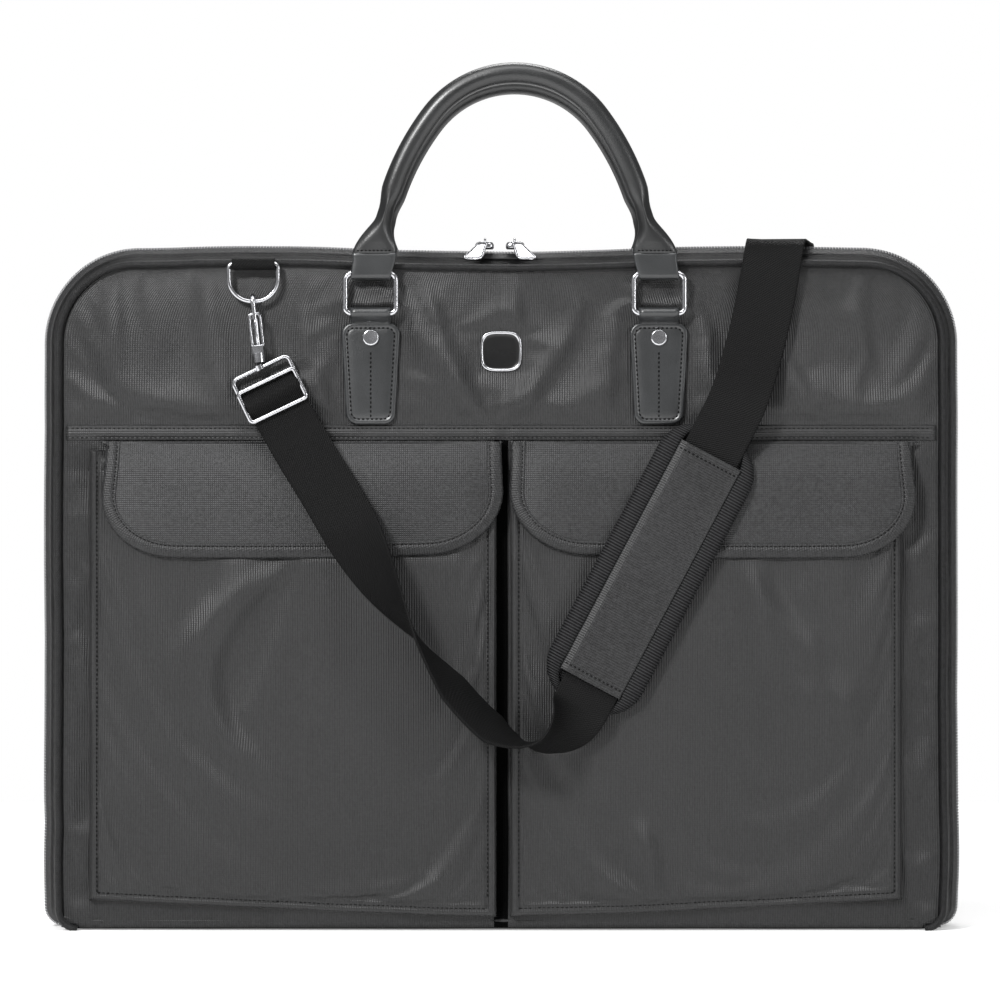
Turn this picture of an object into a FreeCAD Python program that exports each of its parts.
import FreeCAD, Part
import math
import os

import Sketcher
from FreeCAD import Placement, Rotation, Vector

# Bi-fold garment bag, closed and standing on its folded bottom edge. Millimetres.
# X runs along the width, -Y is the front, +Z is up; the origin is the middle of the base.
# Two shallow soft halves meet at the zip plane y = 0 and hinge about the bottom line.

DIMENSIONS = {
    # the two halves
    "bag_width": 600, "bag_height": 446, "half_depth": 33, "corner_radius": 62,
    "taper": 13, "shell_wall": 1.6, "rim_gap": 5.6, "base_gap": 3.4, "base_thickness": 3,
    "padding": 1.6, "lining": 1.0, "layer_gap": 0.3,
    # zip, piping and seam band
    "zip_gap": 0.3, "tape_thickness": 1.2, "coil_radius": 1.1, "piping_radius": 2.2,
    "band_bottom": 320, "band_height": 10, "band_thickness": 1,
    # pockets and their flaps
    "pocket_bottom": 13, "pocket_top": 312.5, "pocket_depth": 8, "pocket_wall": 1.3,
    "pocket_left_start": -269, "pocket_left_end": -3, "pocket_right_start": 6, "pocket_right_end": 262,
    "flap_left_start": -263, "flap_left_end": 2.4, "flap_right_start": 4.6, "flap_right_end": 273,
    "flap_bottom": 246, "flap_top": 319, "flap_lift": 9.2, "flap_thickness": 2.3,
    "flap_round": 40, "binding_width": 9, "binding_thickness": 0.7,
    # carrying handles
    "handle_centre": 9, "handle_spacing": 188, "tab_width": 38, "tab_bottom": 330,
    "tab_top": 396, "tab_thickness": 3.4, "ring_width": 33, "ring_height": 25.6,
    "ring_wire": 1.85, "ring_low": 402.6, "ring_out": 41, "loop_width": 26,
    "loop_bore": 2.3, "loop_wall": 1.8, "grip_radius": 7, "grip_top": 559,
    "grip_top_radius": 68, "grip_side_radius": 140, "grip_top_angle": 53, "grip_side_angle": 84,
    "rivet_radius": 5.5, "rivet_height": 387, "rivet_shank": 2,
    # D-rings, swivel hooks and adjuster
    "dring_width": 32, "dring_height": 24.2, "dring_wire": 1.5, "dring_out": 39.8,
    "front_dring_across": -161.4, "front_dring_pivot": 434.7,
    "rear_dring_across": 193, "rear_dring_pivot": 331,
    "hook_radius": 4.5, "hook_wire": 1.7, "gate_wire": 1.4, "hook_lean": 6,
    "bracket_width": 40, "bracket_height": 13, "adjuster_width": 40, "adjuster_height": 21,
    "adjuster_wire": 1.5, "adjuster_out": 47.2, "strap_lean": 25.5,
    # shoulder strap and pad
    "webbing_width": 38, "webbing_thickness": 1.8, "pad_length": 200, "pad_width": 66,
    "pad_foam": 3.9, "pad_cover": 1.2, "pad_lean": 62,
    # zip sliders
    "slider_length": 10, "slider_width": 7.6, "slider_height": 3.4, "slider_left": -10.5,
    "slider_right": 9, "pull_length": 21, "pull_slope": 22, "pull_splay": 9, "pull_width": 8,
    "pull_thickness": 1.3,
    # badge plate and inside fittings
    "plaque_width": 27, "plaque_height": 19, "plaque_level": 378, "plaque_thickness": 2,
    "garment_strap_level": 230, "garment_strap_width": 25, "buckle_width": 40,
    "hanger_level": 404, "hanger_width": 52,
}

doc = FreeCAD.newDocument("garment_bag")
sheet = doc.addObject("Spreadsheet::Sheet", "dims")
for row, (alias, number) in enumerate(DIMENSIONS.items(), 1):
    sheet.set(f"A{row}", alias)
    sheet.set(f"B{row}", str(number))
    sheet.setAlias(f"B{row}", alias)
doc.recompute()

FRONT, REAR = -1, 1
SIDE_NAMES = {FRONT: "front", REAR: "rear"}
nodes = []


def value(expression):
    """The number that a spreadsheet expression gives."""
    result = sheet.evalExpression(expression)
    return float(getattr(result, "Value", result))


def node(thing, name):
    """Keeps one finished piece under the name of its file."""
    thing.Label = name
    nodes.append(thing)
    return thing


# ---- sketches and general solids ------------------------------------------------------------

def plane(body, role):
    return next(f for f in body.Origin.OriginFeatures if f.Role == role)


def sketch_on(body, name, role="XZ_Plane", offset=None):
    """A sketch on one of the body's origin planes; on XZ_Plane an offset of +d lies at y = -d."""
    sketch = body.newObject("Sketcher::SketchObject", name)
    sketch.AttachmentSupport = [(plane(body, role), "")]
    sketch.MapMode = "FlatFace"
    if offset:
        sketch.setExpression("AttachmentOffset.Base.z", offset)
    return sketch


def outline(sketch, left, right, bottom, top, radii):
    """A rectangle bound to the sheet; radii are for its low left, low right, top right, top left."""
    x0, x1, z0, z1 = map(value, (left, right, bottom, top))
    r = [value(e) if e else 0.0 for e in radii]
    ends = [((x0 + r[0], z0), (x1 - r[1], z0)), ((x1, z0 + r[1]), (x1, z1 - r[2])),
            ((x1 - r[2], z1), (x0 + r[3], z1)), ((x0, z1 - r[3]), (x0, z0 + r[0]))]
    sides = [sketch.addGeometry(Part.LineSegment(Vector(*a, 0), Vector(*b, 0))) for a, b in ends]
    for k, side in enumerate(sides):
        sketch.addConstraint(Sketcher.Constraint("Vertical" if k % 2 else "Horizontal", side))
    centres = [(x0 + r[0], z0 + r[0]), (x1 - r[1], z0 + r[1]),
               (x1 - r[2], z1 - r[2]), (x0 + r[3], z1 - r[3])]
    starts = [math.pi, 1.5 * math.pi, 0, 0.5 * math.pi]
    for k in range(4):
        before, after = sides[k - 1], sides[k]
        if not r[k]:
            sketch.addConstraint(Sketcher.Constraint("Coincident", before, 2, after, 1))
            continue
        circle = Part.Circle(Vector(*centres[k], 0), Vector(0, 0, 1), r[k])
        arc = sketch.addGeometry(Part.ArcOfCircle(circle, starts[k], starts[k] + math.pi / 2))
        sketch.addConstraint(Sketcher.Constraint("Tangent", before, 2, arc, 1))
        sketch.addConstraint(Sketcher.Constraint("Tangent", arc, 2, after, 1))
        n = sketch.addConstraint(Sketcher.Constraint("Radius", arc, r[k]))
        sketch.setExpression(f"Constraints[{n}]", radii[k])
    for kind, side, expression in (("DistanceX", 3, left), ("DistanceX", 1, right),
                                   ("DistanceY", 0, bottom), ("DistanceY", 2, top)):
        n = sketch.addConstraint(Sketcher.Constraint(kind, -1, 1, sides[side], 1, value(expression)))
        sketch.setExpression(f"Constraints[{n}]", expression)


def circle_section(sketch, across, up, radius):
    """A circle bound to the sheet, for a wire or a cord to be swept from."""
    centre = Vector(value(across), value(up), 0)
    circle = sketch.addGeometry(Part.Circle(centre, Vector(0, 0, 1), value(radius)))
    constraints = [(Sketcher.Constraint("DistanceX", -1, 1, circle, 3, value(across)), across),
                   (Sketcher.Constraint("DistanceY", -1, 1, circle, 3, value(up)), up),
                   (Sketcher.Constraint("Radius", circle, value(radius)), radius)]
    for constraint, expression in constraints:
        n = sketch.addConstraint(constraint)
        sketch.setExpression(f"Constraints[{n}]", expression)


def block(name, x, y, z):
    """A box between pairs of expressions."""
    box = doc.addObject("Part::Box", name)
    for size, base, (low, high) in (("Length", "x", x), ("Width", "y", y), ("Height", "z", z)):
        box.setExpression(size, f"({high}) - ({low})")
        box.setExpression(f"Placement.Base.{base}", low)
    return box


def out(side, inner, outer):
    """The y range between two distances from the zip plane, on one side of it."""
    return (f"-({outer})", f"-({inner})") if side == FRONT else (inner, outer)


def rod(name, radius, length, base, direction):
    """A cylinder from a base point of expressions along a direction."""
    cylinder = doc.addObject("Part::Cylinder", name)
    cylinder.setExpression("Radius", radius)
    cylinder.setExpression("Height", length)
    cylinder.Placement.Rotation = Rotation(Vector(0, 0, 1), Vector(*direction))
    for axis, expression in zip("xyz", base):
        cylinder.setExpression(f"Placement.Base.{axis}", expression)
    return cylinder


def cut(name, base, tool):
    result = doc.addObject("Part::Cut", name)
    result.Base, result.Tool = base, tool
    return result


def fuse(name, *shapes):
    result = doc.addObject("Part::MultiFuse", name)
    result.Shapes = list(shapes)
    return result


def rounded_plate(name, x, z, radii, side, inner, thickness):
    """A flat plate with rounded corners that lies parallel to the zip plane."""
    body = doc.addObject("PartDesign::Body", name)
    offset = inner if side == FRONT else f"-({inner})"
    sketch = sketch_on(body, f"{name}_outline", offset=offset)
    outline(sketch, *x, *z, radii)
    pad = body.newObject("PartDesign::Pad", f"{name}_pad")
    pad.Profile = sketch
    pad.setExpression("Length", thickness)
    pad.Reversed = side == REAR
    return body


def wire_loop(name, width, low, high, radii, wire):
    """A closed loop of round wire, standing in the XZ plane about x = 0."""
    body = doc.addObject("PartDesign::Body", name)
    path = sketch_on(body, f"{name}_path")
    outline(path, f"-({width})/2", f"({width})/2", low, high, radii)
    section = sketch_on(body, f"{name}_section", "YZ_Plane")
    circle_section(section, "0", low, wire)
    doc.recompute()
    pipe = body.newObject("PartDesign::AdditivePipe", f"{name}_pipe")
    pipe.Profile = section
    pipe.Spine = (path, [f"Edge{k + 1}" for k in range(len(path.Shape.Edges))])
    return body


def place(thing, base, rotation=Rotation()):
    """Puts a piece at a point of expressions."""
    thing.Placement.Rotation = rotation
    for axis, expression in zip("xyz", base):
        thing.setExpression(f"Placement.Base.{axis}", expression)
    return thing


# ---- the two halves -------------------------------------------------------------------------

def half_outline(sketch, inset, bottom):
    """The bag's outline, made smaller by an inset: square below, rounded above."""
    outline(sketch, f"-dims.bag_width/2 + ({inset})", f"dims.bag_width/2 - ({inset})", bottom,
            f"dims.bag_height - ({inset})",
            [None, None, f"dims.corner_radius - ({inset})", f"dims.corner_radius - ({inset})"])


def shell(side):
    """The fabric face and its sloping gusset, open at the zip plane and at the bottom."""
    name = f"{SIDE_NAMES[side]}_shell"
    body = doc.addObject("PartDesign::Body", name)
    sign = "" if side == FRONT else "-"
    levels = [("rim", "0", "dims.rim_gap"), ("face", "dims.taper", "dims.half_depth")]
    inner = [("rim_inside", "dims.shell_wall", "dims.rim_gap"),
             ("face_inside", "dims.taper + dims.shell_wall", "dims.half_depth - dims.shell_wall")]
    for kind, rows in (("PartDesign::AdditiveLoft", levels), ("PartDesign::SubtractiveLoft", inner)):
        sketches = []
        for label, inset, distance in rows:
            sketch = sketch_on(body, f"{name}_{label}", offset=f"{sign}({distance})")
            half_outline(sketch, inset, "dims.base_gap")
            sketches.append(sketch)
        doc.recompute()
        loft = body.newObject(kind, f"{name}_{rows[0][0]}_loft")
        loft.Profile, loft.Sections, loft.Ruled = sketches[0], sketches[1:], True
        doc.recompute()
    node(body, name)


def layer(name, side, inner, thickness, inset):
    """A flat sheet inside a half, with the half's own outline."""
    body = doc.addObject("PartDesign::Body", name)
    sketch = sketch_on(body, f"{name}_outline", offset=inner if side == FRONT else f"-({inner})")
    half_outline(sketch, inset, "dims.base_gap + 6")
    pad = body.newObject("PartDesign::Pad", f"{name}_pad")
    pad.Profile = sketch
    pad.setExpression("Length", thickness)
    pad.Reversed = side == REAR
    node(body, name)


def rim_path(body, name, inset, distance, side):
    """An open path up one side, over the top and down the other."""
    path = sketch_on(body, f"{name}_path", offset=distance if side == FRONT else f"-({distance})")
    half, top = value(f"dims.bag_width/2 - ({inset})"), value(f"dims.bag_height - ({inset})")
    low, round_ = value("dims.base_gap"), value(f"dims.corner_radius - ({inset})")
    corners = [Part.Circle(Vector(s * (half - round_), top - round_, 0), Vector(0, 0, 1), round_)
               for s in (-1, 1)]
    path.addGeometry([
        Part.LineSegment(Vector(-half, low, 0), Vector(-half, top - round_, 0)),
        Part.ArcOfCircle(corners[0], math.pi / 2, math.pi),
        Part.LineSegment(Vector(round_ - half, top, 0), Vector(half - round_, top, 0)),
        Part.ArcOfCircle(corners[1], 0, math.pi / 2),
        Part.LineSegment(Vector(half, top - round_, 0), Vector(half, low, 0))])
    return path


def rim_cord(name, inset, distance, side, radius):
    """A round cord along the rim path: a piping or one side of the zip's coil."""
    body = doc.addObject("PartDesign::Body", name)
    path = rim_path(body, name, inset, distance, side)
    section = sketch_on(body, f"{name}_section", "XY_Plane", "dims.base_gap")
    across = f"-dims.bag_width/2 + ({inset})"
    circle_section(section, across, f"{'-' if side == FRONT else ''}({distance})", radius)
    doc.recompute()
    pipe = body.newObject("PartDesign::AdditivePipe", f"{name}_pipe")
    pipe.Profile = section
    pipe.Spine = (path, [f"Edge{k + 1}" for k in range(5)])
    return body


def zip_side(side):
    """A band of tape inside the rim with its half of the coil on the edge at the zip plane."""
    name = f"{SIDE_NAMES[side]}_zip"
    body = doc.addObject("PartDesign::Body", f"{name}_tape")
    start = "dims.zip_gap + 1.5*dims.coil_radius"
    sketches = []
    for label, inset in (("outer", "0"), ("inner", "dims.tape_thickness")):
        sketch = sketch_on(body, f"{name}_{label}", offset=start if side == FRONT else f"-({start})")
        half_outline(sketch, inset, "dims.base_gap")
        sketches.append(sketch)
    band = body.newObject("PartDesign::Pad", f"{name}_band")
    band.Profile = sketches[0]
    band.setExpression("Length", f"dims.rim_gap - ({start})")
    band.Reversed = side == REAR
    doc.recompute()
    hollow = body.newObject("PartDesign::Pocket", f"{name}_hollow")
    hollow.Profile = sketches[1]
    hollow.Type = "ThroughAll"
    hollow.Reversed = side == FRONT
    doc.recompute()
    coil = rim_cord(f"{name}_coil", "dims.coil_radius", "dims.zip_gap + dims.coil_radius", side,
                    "dims.coil_radius")
    node(fuse(name, body, coil), name)


def layers_of(side):
    """Everything flat that makes one half: shell, foam, lining, piping, zip and seam band."""
    name = SIDE_NAMES[side]
    shell(side)
    foam_outer = "dims.half_depth - dims.shell_wall - dims.layer_gap"
    foam_inner = f"{foam_outer} - dims.padding"
    lining_inner = f"{foam_inner} - dims.layer_gap - dims.lining"
    layer(f"{name}_padding", side, foam_inner, "dims.padding", "dims.taper + 3")
    layer(f"{name}_lining", side, lining_inner, "dims.lining", "dims.taper + 3")
    # the piping lies on the edge between face and gusset
    stand_off = "dims.piping_radius*0.74"
    node(rim_cord(f"{name}_piping", f"dims.taper - {stand_off}", f"dims.half_depth + {stand_off}",
                  side, "dims.piping_radius"), f"{name}_piping")
    zip_side(side)
    margin = "dims.bag_width/2 - dims.taper - 4"
    band = block(f"{name}_yoke_band", (f"-({margin})", margin),
                 out(side, "dims.half_depth", "dims.half_depth + dims.band_thickness"),
                 ("dims.band_bottom", "dims.band_bottom + dims.band_height"))
    node(band, f"{name}_yoke_band")


def bottom_panel():
    """The soft folded strip that joins the halves and that the bag stands on."""
    half = "dims.bag_width/2 - dims.taper"
    deep = "dims.half_depth"
    node(block("bottom_panel", (f"-({half})", half), (f"-({deep})", deep),
               ("0", "dims.base_thickness")), "bottom_panel")


# ---- pockets and flaps ----------------------------------------------------------------------

def pocket(hand):
    """A patch pocket on the front face: a flat bag open at its top edge."""
    name = f"{hand}_pocket"
    x = (f"dims.pocket_{hand}_start", f"dims.pocket_{hand}_end")
    outer = block(f"{name}_outside", x, out(FRONT, "dims.half_depth + 0.2",
                                            "dims.half_depth + dims.pocket_depth"),
                  ("dims.pocket_bottom", "dims.pocket_top"))
    inner = block(f"{name}_inside", (f"{x[0]} + 2", f"{x[1]} - 2"),
                  out(FRONT, "dims.half_depth + dims.pocket_wall",
                      "dims.half_depth + dims.pocket_depth - dims.pocket_wall"),
                  ("dims.pocket_bottom + 2", "dims.pocket_top + 1"))
    node(cut(name, outer, inner), name)


def flap(hand):
    """A flap with rounded lower corners, hung from a short shelf at the seam band."""
    name = f"{hand}_flap"
    x = (f"dims.flap_{hand}_start", f"dims.flap_{hand}_end")
    z = ("dims.flap_bottom", "dims.flap_top")
    inner = "dims.half_depth + dims.flap_lift"
    panel = rounded_plate(f"{name}_panel", x, z, ["dims.flap_round", "dims.flap_round", None, None],
                          FRONT, inner, "dims.flap_thickness")
    shelf = block(f"{name}_shelf", x, out(FRONT, "dims.half_depth + 2", f"{inner} + 1"),
                  ("dims.flap_top - 1.6", "dims.flap_top"))
    node(fuse(name, panel, shelf), name)
    # the binding is a ribbon along the flap's free edge, on its outer face
    start = f"{inner} + dims.flap_thickness"
    round_in = "dims.flap_round - dims.binding_width"
    outside = rounded_plate(f"{name}_edge", x, z, ["dims.flap_round", "dims.flap_round", None, None],
                            FRONT, start, "dims.binding_thickness")
    inside = rounded_plate(f"{name}_field",
                           (f"{x[0]} + dims.binding_width", f"{x[1]} - dims.binding_width"),
                           ("dims.flap_bottom + dims.binding_width", "dims.flap_top + 1"),
                           [round_in, round_in, None, None], FRONT, f"{start} - 1",
                           "dims.binding_thickness + 2")
    node(cut(f"{name}_binding", outside, inside), f"{name}_binding")


# ---- handles --------------------------------------------------------------------------------

def handle_side_x(hand):
    return f"dims.handle_centre {'-' if hand == 'left' else '+'} dims.handle_spacing/2"


def webbing_loop(name, x, y, z, width):
    """A tube of leather or webbing that wraps a ring's bar."""
    base = (f"{x} - ({width})/2", y, z)
    outer = rod(f"{name}_outside", "dims.loop_bore + dims.loop_wall", width, base, (1, 0, 0))
    bore_base = (f"{x} - ({width})/2 - 1", y, z)
    bore = rod(f"{name}_bore", "dims.loop_bore", f"{width} + 2", bore_base, (1, 0, 0))
    return outer, bore


def tab(side, hand):
    """A leather tab on the face whose upper end wraps the ring's lower bar; it has a rivet hole."""
    name = f"{SIDE_NAMES[side]}_tab_{hand}"
    x = handle_side_x(hand)
    y = f"{side}*dims.ring_out"
    start = "dims.half_depth + dims.band_thickness*0.2"
    plate = rounded_plate(f"{name}_plate", (f"{x} - dims.tab_width/2", f"{x} + dims.tab_width/2"),
                          ("dims.tab_bottom + 0.4", "dims.tab_top"), ["3", "3", "7", "7"], side,
                          start, "dims.tab_thickness")
    wrap, bore = webbing_loop(f"{name}_loop", x, y, "dims.ring_low", "dims.loop_width")
    neck = block(f"{name}_neck", (f"{x} - dims.loop_width/2", f"{x} + dims.loop_width/2"),
                 out(side, start, "dims.ring_out"), ("dims.tab_top - 2", "dims.ring_low"))
    hole = rod(f"{name}_hole", "dims.rivet_shank + 0.1", "dims.tab_thickness + 4",
               (x, f"{side}*(dims.half_depth - 1)", "dims.rivet_height"), (0, side, 0))
    node(cut(name, fuse(f"{name}_solid", plate, wrap, neck), fuse(f"{name}_holes", bore, hole)), name)


def rivets(side):
    """Two domed rivets through the tabs of one side."""
    solids = []
    for hand in ("left", "right"):
        name = f"{SIDE_NAMES[side]}_rivet_{hand}"
        x = handle_side_x(hand)
        face = "(dims.half_depth + dims.band_thickness*0.2 + dims.tab_thickness)"
        shank = rod(f"{name}_shank", "dims.rivet_shank", "dims.tab_thickness + 1",
                    (x, f"{side}*({face} - dims.tab_thickness)", "dims.rivet_height"), (0, side, 0))
        head = rod(f"{name}_head", "dims.rivet_radius", "1.6",
                   (x, f"{side}*{face}", "dims.rivet_height"), (0, side, 0))
        doc.recompute()
        dome = doc.addObject("Part::Fillet", f"{name}_dome")
        dome.Base = head
        rim = next(k for k, e in enumerate(head.Shape.Edges, 1)
                   if abs(abs(e.CenterOfMass.y) - value(f"{face} + 1.6")) < 0.01
                   and len(e.Vertexes) == 1)
        dome.Edges = [(rim, 1.3, 1.3)]
        solids += [fuse(name, shank, dome)]
    name = f"{SIDE_NAMES[side]}_rivets"
    node(fuse(name, *solids), name)


def handle(side):
    """A round leather grip whose flattened ends wrap the upper bars of its two rings."""
    prefix = SIDE_NAMES[side]
    y = f"{side}*dims.ring_out"
    for hand in ("left", "right"):
        name = f"{prefix}_ring_{hand}"
        ring = wire_loop(name, "dims.ring_width", "0", "dims.ring_height", ["4", "4", "4", "4"],
                         "dims.ring_wire")
        node(place(ring, (handle_side_x(hand), y, "dims.ring_low")), name)
    # the grip: one arc over the top and one wider arc down each leg, all tangent
    big, wide = value("dims.grip_top_radius"), value("dims.grip_side_radius")
    turn, end = value("dims.grip_top_angle"), value("dims.grip_side_angle")
    crown = value("dims.grip_top") - big
    grip = doc.addObject("PartDesign::Body", f"{prefix}_grip")
    path = sketch_on(grip, f"{prefix}_grip_path")
    arcs = [Part.ArcOfCircle(Part.Circle(Vector(0, crown, 0), Vector(0, 0, 1), big),
                             math.radians(90 - turn), math.radians(90 + turn))]
    shift = wide - big
    for s in (-1, 1):
        centre = Vector(-s * shift * math.sin(math.radians(turn)),
                        crown - shift * math.cos(math.radians(turn)), 0)
        angles = sorted(math.radians(90 - s * a) for a in (turn, end))
        arcs.append(Part.ArcOfCircle(Part.Circle(centre, Vector(0, 0, 1), wide), *angles))
    path.addGeometry([arcs[1], arcs[0], arcs[2]])
    section = sketch_on(grip, f"{prefix}_grip_section", "YZ_Plane")
    circle_section(section, "0", "dims.grip_top", "dims.grip_radius")
    doc.recompute()
    spine = [f"Edge{k + 1}" for k in range(3)]
    pipe = grip.newObject("PartDesign::AdditivePipe", f"{prefix}_grip_pipe")
    pipe.Profile = section
    pipe.Spine = (path, spine)
    node(place(grip, ("dims.handle_centre", y, "0")), f"{prefix}_grip")
    # the ends: a flat tongue that narrows and thickens up to the grip, above a wrap
    foot = Vector(wide * math.sin(math.radians(end)) - shift * math.sin(math.radians(turn)), 0,
                  crown - shift * math.cos(math.radians(turn))
                  + wide * math.cos(math.radians(end)))
    bar = value("dims.ring_low + dims.ring_height")
    reach = value("dims.handle_spacing/2")
    for s, hand in ((-1, "left"), (1, "right")):
        name = f"{prefix}_grip_end_{hand}"
        stations = [(0, 12.9, 2.6), (0.35, 12.6, 3.0), (0.75, 9.2, 5.2), (1, 7, 7)]
        rings = []
        for t, semi_x, semi_y in stations:
            centre = Vector(s * (reach + (foot.x - reach) * t), 0, bar + 3 + (foot.z - bar - 3) * t)
            ellipse = Part.Ellipse(Vector(0, 0, 0), semi_x, min(semi_y, semi_x - 0.001))
            wire = Part.Wire(ellipse.toShape())
            lean = Rotation(Vector(0, 1, 0), -s * (90 - value("dims.grip_side_angle")) * t)
            wire.Placement = Placement(centre, lean)
            rings.append(wire)
        tongue = Part.makeLoft(rings, True)
        half = value("dims.loop_width") / 2
        reach_x = s * reach
        wrap = Part.makeCylinder(value("dims.loop_bore + dims.loop_wall"), 2 * half,
                                 Vector(reach_x - half, 0, bar), Vector(1, 0, 0))
        bore = Part.makeCylinder(value("dims.loop_bore"), 2 * half + 2,
                                 Vector(reach_x - half - 1, 0, bar), Vector(1, 0, 0))
        feature = doc.addObject("Part::Feature", name)
        feature.Shape = tongue.fuse(wrap).cut(bore)
        node(place(feature, ("dims.handle_centre", y, "0")), name)


# ---- D-rings, hooks and adjuster ------------------------------------------------------------

def about_y(degrees):
    return Rotation(Vector(0, 1, 0), degrees)


def bracket_eye():
    """The bracket's closed eye: straight bars joined by quarter bends, hung from its upper bar."""
    half, tall = value("dims.bracket_width/2"), value("dims.bracket_height")
    wire, bend = value("dims.dring_wire"), 4
    solids = []
    corners = [(-half, -tall), (half, -tall), (half, 0), (-half, 0)]
    for k, (x, z) in enumerate(corners):
        after_x, after_z = corners[(k + 1) % 4]
        along = Vector(after_x - x, 0, after_z - z)
        step = Vector(along).normalize()
        solids.append(Part.makeCylinder(wire, along.Length - 2 * bend,
                                        Vector(x, 0, z) + step * bend, step))
        turn_x, turn_z = x - math.copysign(bend, x), z + (bend if z < 0 else -bend)
        disc = Part.Face(Part.Wire(Part.Circle(Vector(x, 0, z) + step * bend, step, wire).toShape()))
        solids.append(disc.revolve(Vector(turn_x, 0, turn_z), Vector(0, 1, 0), 90))
    return solids[0].fuse(solids[1:])


def hook_set(side):
    """A D-ring in its webbing loop, with the swivel hook that is clipped on it.

    The set is drawn hanging, with its origin at the D-ring's straight bar. The rear one is
    pulled upwards by the strap, so it is the same set turned over about X."""
    name = SIDE_NAMES[side]
    lean = value("dims.hook_lean") if side == FRONT else 0
    tilt = value("dims.strap_lean") if side == FRONT else 0
    turn_over = Rotation() if side == FRONT else Rotation(Vector(1, 0, 0), 180)
    base = (f"dims.{name}_dring_across", f"{side}*dims.dring_out", f"dims.{name}_dring_pivot")

    ring = wire_loop(f"{name}_dring", "dims.dring_width", "-dims.dring_height", "0",
                     ["dims.dring_width/2 - 1", "dims.dring_width/2 - 1", "2.5", "2.5"],
                     "dims.dring_wire")
    node(place(ring, base, turn_over), f"{name}_dring")

    wrap, bore = webbing_loop(f"{name}_dring_loop", base[0], base[1], base[2], "25")
    seat_z = (f"{base[2]} - 4", f"{base[2]} + 4")
    stem = block(f"{name}_dring_stem", (f"{base[0]} - 12.5", f"{base[0]} + 12.5"),
                 out(side, "dims.half_depth + 1.2", "dims.dring_out"), seat_z)
    seat = fuse(f"{name}_dring_seat", wrap, stem)
    node(cut(f"{name}_dring_loop", seat, bore), f"{name}_dring_loop")

    # the hook lies in the YZ plane: shank, bend over the ring, nose; the gate closes it
    bend = value("dims.hook_radius")
    wire = value("dims.hook_wire")
    clearance = 0.3
    top = -value("dims.dring_height") + value("dims.dring_wire") + clearance + wire
    centre = top - bend
    foot = centre - 29
    inward, outward = bend, -bend
    shank = Part.LineSegment(Vector(0, inward, foot), Vector(0, inward, centre))
    arc = Part.Arc(Vector(0, inward, centre), Vector(0, 0, top), Vector(0, outward, centre))
    nose = Part.LineSegment(Vector(0, outward, centre), Vector(0, outward, centre - 11))
    spine = Part.Wire([shank.toShape(), arc.toShape(), nose.toShape()])
    section = Part.Wire(Part.Circle(Vector(0, inward, foot), Vector(0, 0, 1), wire).toShape())
    body = spine.makePipeShell([section], True, True)
    base_block = Part.makeBox(7, 2 * bend + 2 * wire, 4.6,
                              Vector(-3.5, -bend - wire, foot - 4))
    boss = Part.makeCylinder(3.9, 6, Vector(0, 0, foot - 10), Vector(0, 0, 1))
    pivot = Vector(0, 0, centre)
    placed = Placement(Vector(0, 0, 0), about_y(-lean), pivot)

    feature = doc.addObject("Part::Feature", f"{name}_hook")
    shape = body.fuse([base_block, boss])
    shape.Placement = placed
    feature.Shape = shape.removeSplitter()
    node(place(feature, base, turn_over), f"{name}_hook")

    gate_low, gate_high = foot + 1.4, centre - 11.4
    gate = Part.makeCylinder(value("dims.gate_wire"), gate_high - gate_low,
                             Vector(0, outward, gate_low), Vector(0, 0, 1))
    thumb = Part.makeBox(6.4, 1.6, 6, Vector(-3.2, outward - 2.2, gate_low + 3))
    shape = gate.fuse(thumb)
    shape.Placement = placed
    feature = doc.addObject("Part::Feature", f"{name}_gate")
    feature.Shape = shape.removeSplitter()
    node(place(feature, base, turn_over), f"{name}_gate")

    # the strap's bracket turns on the boss below the hook
    collar = placed.multVec(Vector(0, 0, foot - 10.6))
    neck = Part.makeCylinder(3, 3.4, Vector(0, 0, -1.5), Vector(0, 0, 1))
    hung = Placement(collar - Vector(0, 0, 3.1), about_y(-tilt))
    feature = doc.addObject("Part::Feature", f"{name}_bracket")
    feature.Shape = bracket_eye().fuse(neck).transformed(hung.toMatrix(), True)
    node(place(feature, base, turn_over), f"{name}_bracket")
    return collar


def adjuster(collar):
    """The three-bar slide of the strap: a wire frame and a flat bar across its middle."""
    spin = about_y(-value("dims.strap_lean"))
    middle = Vector(value("dims.front_dring_across") + collar.x, -value("dims.adjuster_out"),
                    value("dims.front_dring_pivot") + collar.z - 3.1)
    middle += spin.multVec(Vector(0, 0, -value("dims.bracket_height") - 7))
    frame = wire_loop("adjuster_frame", "dims.adjuster_width", "-dims.adjuster_height/2",
                      "dims.adjuster_height/2", ["2.5", "2.5", "2.5", "2.5"], "dims.adjuster_wire")
    frame.Placement = Placement(middle, spin)
    node(frame, "adjuster_frame")
    reach = "dims.adjuster_width/2 - dims.adjuster_wire - 0.3"
    bar = block("adjuster_bar_blank", (f"-({reach})", reach), ("-1", "1"), ("-1.8", "1.8"))
    doc.recompute()
    blank = bar.Shape.copy()
    blank.Placement = Placement(middle, spin).multiply(blank.Placement)
    doc.removeObject(bar.Name)
    feature = doc.addObject("Part::Feature", "adjuster_bar")
    feature.Shape = blank
    node(feature, "adjuster_bar")


# ---- shoulder strap -------------------------------------------------------------------------

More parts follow.
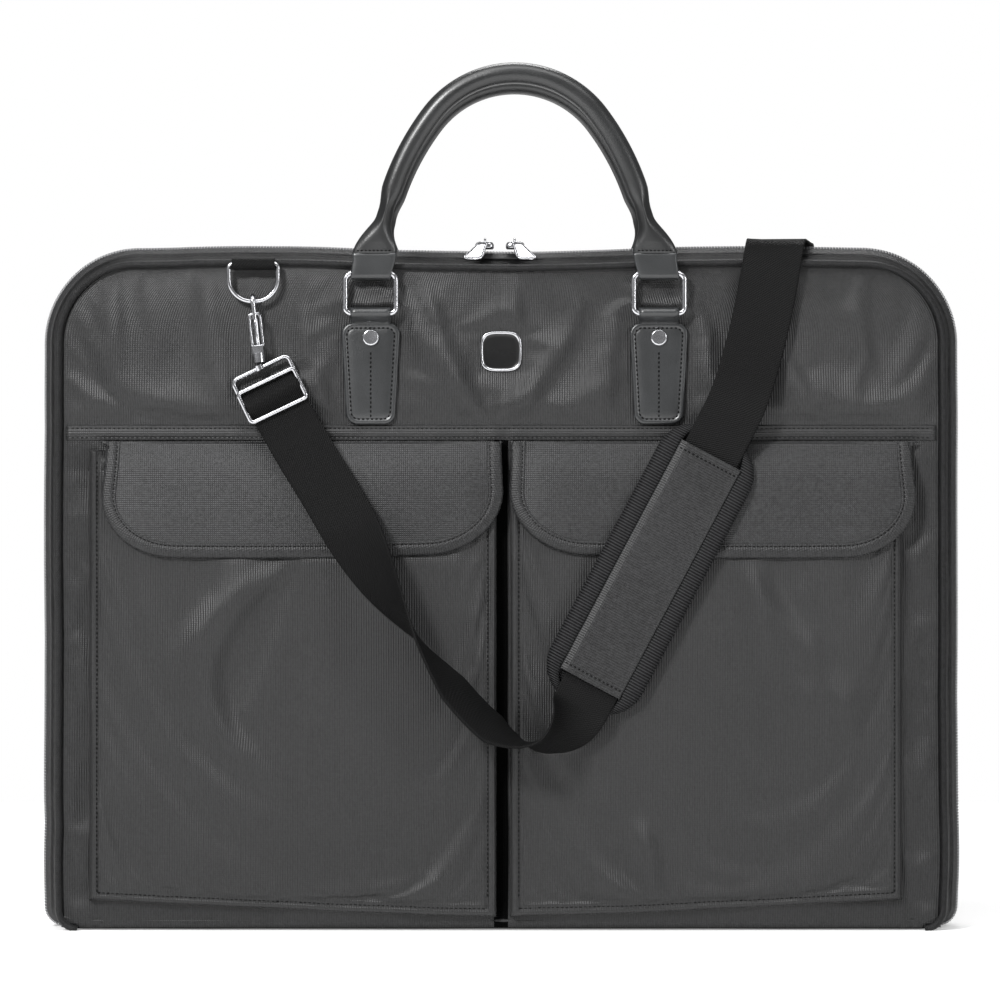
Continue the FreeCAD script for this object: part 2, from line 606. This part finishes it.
# Control points of the strap's line, from the adjuster down, up through the pad, over the top
# edge and down to the rear hook.
FRONT_ROUTE = [(-149, -50.2, 350), (-132, -50.6, 319), (-108, -54, 281), (-78, -62, 227),
               (-52, -65, 188), (-28, -63.5, 156), (-4, -63, 131), (22, -64.5, 120),
               (43, -61, 132), (55, -50.4, 153), (67, -50.6, 177), (97, -50.6, 236),
               (134, -50.6, 306)]
TWIST = [(0, 0), (0.2, 0), (0.375, 90), (0.45, 118), (0.52, 119), (0.555, 98), (0.6, 62),
         (0.635, 22), (0.655, 0), (1, 0)]
PAD_MIDDLE = (97, -50.6, 236)
REAR_ROUTE = [(134, -50.6, 306), (148.8, -50.6, 334), (156, -50.6, 350), (164, -44, 376),
              (170.5, -40.6, 402), (175, -39.6, 426), (178, -39.8, 445), (179.5, -35, 451),
              (183, -10, 451), (186, 12, 451), (189.5, 36, 451), (191, 42, 445),
              (192.5, 41.6, 430), (193, 39.8, 414.6)]


def facing(point):
    """Which way the strap faces there: straight out of the bag, and round its top edge."""
    level, deep = value("dims.bag_height - 6"), value("dims.half_depth - 3")
    nearest = max(-deep, min(deep, point.y))
    return Vector(0, point.y - nearest, max(0, point.z - level)).normalize()


def twist(share):
    """How far the slack run has turned about its own line, in degrees, at a share of its length."""
    for (start, first), (end, last) in zip(TWIST, TWIST[1:]):
        if share <= end:
            return first + (last - first) * (share - start) / (end - start)
    return 0.0


def webbing(name, route, samples, turning):
    """Flat webbing along a smooth line; turning webbing follows the twist of the slack run."""
    curve = Part.BSplineCurve()
    curve.buildFromPoles([Vector(*p) for p in route], False, 2)
    half, thick = value("dims.webbing_width/2"), value("dims.webbing_thickness/2")
    sections = []
    for k in range(samples + 1):
        u = curve.FirstParameter + (curve.LastParameter - curve.FirstParameter) * k / samples
        tangent = curve.tangent(u)[0]
        point = curve.value(u)
        across = facing(point).cross(tangent).normalize()
        if turning:
            share = curve.length(curve.FirstParameter, u) / curve.length()
            across = Rotation(tangent, twist(share)).multVec(across)
        normal = tangent.cross(across)
        sections.append([point + across * (half * a) + normal * (thick * n)
                         for a, n in ((-1, -1), (1, -1), (1, 1), (-1, 1))])
    faces = [Part.Face(Part.makePolygon(s + s[:1])) for s in (sections[0], sections[-1])]
    for one, two in zip(sections, sections[1:]):
        for k in range(4):
            a, b, c, d = one[k - 1], one[k], two[k], two[k - 1]
            faces += [Part.Face(Part.makePolygon([a, b, c, a])),
                      Part.Face(Part.makePolygon([a, c, d, a]))]
    solid = Part.makeSolid(Part.makeShell(faces))
    if solid.Volume < 0:
        solid.reverse()
    print(name, "length", round(curve.length(), 1), "volume by length",
          round(curve.length() * half * thick * 4), "volume", round(solid.Volume))
    feature = doc.addObject("Part::Feature", name)
    feature.Shape = solid
    node(feature, name)


def pad():
    """The shoulder pad: foam behind the webbing and a stitched cover in front of it."""
    middle = Vector(*PAD_MIDDLE)
    lean = about_y(90 - value("dims.pad_lean"))
    long_, wide = value("dims.pad_length/2"), value("dims.pad_width/2")
    gap = value("dims.webbing_thickness/2 + dims.layer_gap")
    for name, inner, thick, w, l in (
            ("pad_foam", -gap - value("dims.pad_foam"), value("dims.pad_foam"), wide, long_),
            ("pad_cover", gap, value("dims.pad_cover"), wide * 0.68, long_ * 0.84)):
        plate = Part.makeBox(2 * w, thick, 2 * l, Vector(-w, -inner - thick, -l))
        upright = [e for e in plate.Edges if abs(e.tangentAt(0).y) > 0.9]
        feature = doc.addObject("Part::Feature", name)
        feature.Shape = plate.makeFillet(min(w * 0.5, 16) if name == "pad_foam" else 2, upright)
        feature.Placement = Placement(middle, lean)
        node(feature, name)


# ---- zip sliders, badge plate and inside fittings -------------------------------------------

def slider(hand):
    """A slider that rides over the closed coil, with a bridge that holds its pull tab."""
    name = f"slider_{hand}"
    x = f"dims.slider_{hand}"
    low, high = "dims.bag_height + 0.4", "dims.bag_height + 0.4 + dims.slider_height"
    half = "dims.slider_length/2"
    body = block(f"{name}_body", (f"{x} - {half}", f"{x} + {half}"),
                 ("-dims.slider_width/2", "dims.slider_width/2"), (low, high))
    channel = block(f"{name}_channel", (f"{x} - {half} - 1", f"{x} + {half} + 1"),
                    ("-dims.slider_width/2 + 1", "dims.slider_width/2 - 1"),
                    (f"{low} - 1", f"{low} + 1.2"))
    bridge = block(f"{name}_bridge", (f"{x} - 1.6", f"{x} + 1.6"), ("-3.8", "2"),
                   (high, f"{high} + 3.6"))
    eye = block(f"{name}_eye", (f"{x} - 2", f"{x} + 2"), ("-2.8", "1"),
                (f"{high} + 0.4", f"{high} + 2.6"))
    node(cut(name, fuse(f"{name}_solid", body, bridge), fuse(f"{name}_space", channel, eye)), name)


def pull(hand):
    """A pull tab that slopes down over the front edge, its pin held under the slider's bridge."""
    name = f"pull_{hand}"
    sign = -1 if hand == "left" else 1
    pin_height = value("dims.bag_height + 0.4 + dims.slider_height") + 1.85
    wide, thick = value("dims.pull_width/2"), value("dims.pull_thickness")
    reach, neck, arm = value("dims.pull_length"), 5.4, 1.3
    pin = Part.makeCylinder(0.6, 2 * wide, Vector(-wide, 0, 0), Vector(1, 0, 0))
    arms = [Part.makeBox(arm, neck + 0.6, 1.2, Vector(low, -neck, -0.6)) for low in (-wide, wide - arm)]
    plate = Part.makeBox(2 * wide, reach, thick, Vector(-wide, -neck - reach, -0.6))
    corners = [e for e in plate.Edges
               if abs(e.tangentAt(0).z) > 0.9 and e.CenterOfMass.y < -neck - reach + 0.1]
    plate = plate.makeFillet(2.5, corners)
    window = Part.makeBox(2 * (wide - 2), 8, thick + 2, Vector(2 - wide, -neck - 11, -1.6))
    shape = plate.fuse(arms + [pin]).cut(window)
    slope = Rotation(Vector(1, 0, 0), value("dims.pull_slope"))
    splay = Rotation(Vector(0, 0, 1), sign * value("dims.pull_splay"))
    feature = doc.addObject("Part::Feature", name)
    feature.Shape = shape.removeSplitter()
    feature.Placement = Placement(Vector(value(f"dims.slider_{hand}"), -1.4, pin_height),
                                  splay.multiply(slope))
    node(feature, name)


def fittings():
    """The badge plate outside, and the hanger loop and garment strap inside the rear half."""
    wide, tall = "dims.plaque_width/2", "dims.plaque_height/2"
    plate = rounded_plate("plaque", (f"-{wide}", wide),
                          (f"dims.plaque_level - {tall}", f"dims.plaque_level + {tall}"),
                          [f"{tall} - 1"] * 4, FRONT, "dims.half_depth + 0.2",
                          "dims.plaque_thickness")
    node(plate, "plaque")
    ring = wire_loop("hanger_ring", "dims.hanger_width", "-13", "0", ["4", "4", "4", "4"], "2")
    node(place(ring, ("0", "15", "dims.hanger_level")), "hanger_ring")
    outer = rod("hanger_loop_outside", "4.4", "25", ("-12.5", "15", "dims.hanger_level"), (1, 0, 0))
    bore = rod("hanger_loop_bore", "2.5", "27", ("-13.5", "15", "dims.hanger_level"), (1, 0, 0))
    stem = block("hanger_stem", ("-12.5", "12.5"), ("14", "16"),
                 ("dims.hanger_level", "dims.bag_height - 9"))
    node(cut("hanger_loop", fuse("hanger_loop_solid", outer, stem), bore), "hanger_loop")
    low = "dims.garment_strap_level"
    high = "dims.garment_strap_level + dims.garment_strap_width"
    inner = "dims.buckle_width/2 + 0.3"
    end = "dims.bag_width/2 - dims.taper - 12"
    straps = [block(f"garment_strap_{k}", x, ("25", "26.6"), (low, high))
              for k, x in enumerate(((f"-({end})", f"-({inner})"), (inner, end)))]
    node(fuse("garment_strap", *straps), "garment_strap")
    buckle = block("garment_buckle", ("-dims.buckle_width/2", "dims.buckle_width/2"),
                   ("21.5", "27.4"), (f"{low} - 4", f"{high} + 4"))
    node(buckle, "garment_buckle")


for half_side in (FRONT, REAR):
    layers_of(half_side)
    for side_hand in ("left", "right"):
        tab(half_side, side_hand)
    rivets(half_side)
    handle(half_side)
bottom_panel()
for side_hand in ("left", "right"):
    pocket(side_hand)
    flap(side_hand)
    slider(side_hand)
    pull(side_hand)
front_collar = hook_set(FRONT)
hook_set(REAR)
adjuster(front_collar)
webbing("strap_front_run", FRONT_ROUTE, 84, True)
webbing("strap_rear_run", REAR_ROUTE, 60, False)
pad()
fittings()

doc.recompute()
for thing in doc.Objects:
    faults = [state for state in thing.State if state in ("Invalid", "Error")]
    if faults:
        raise RuntimeError(f"{thing.Label}: {faults}")
for piece in nodes:
    if piece.Shape.isNull() or not piece.Shape.isValid() or not piece.Shape.Solids:
        raise RuntimeError(f"{piece.Label}: its shape isn't a valid solid")
os.makedirs("parts", exist_ok=True)
for piece in nodes:
    piece.Shape.exportStep(f"parts/{piece.Label}.step")
print(len(nodes), "parts written")
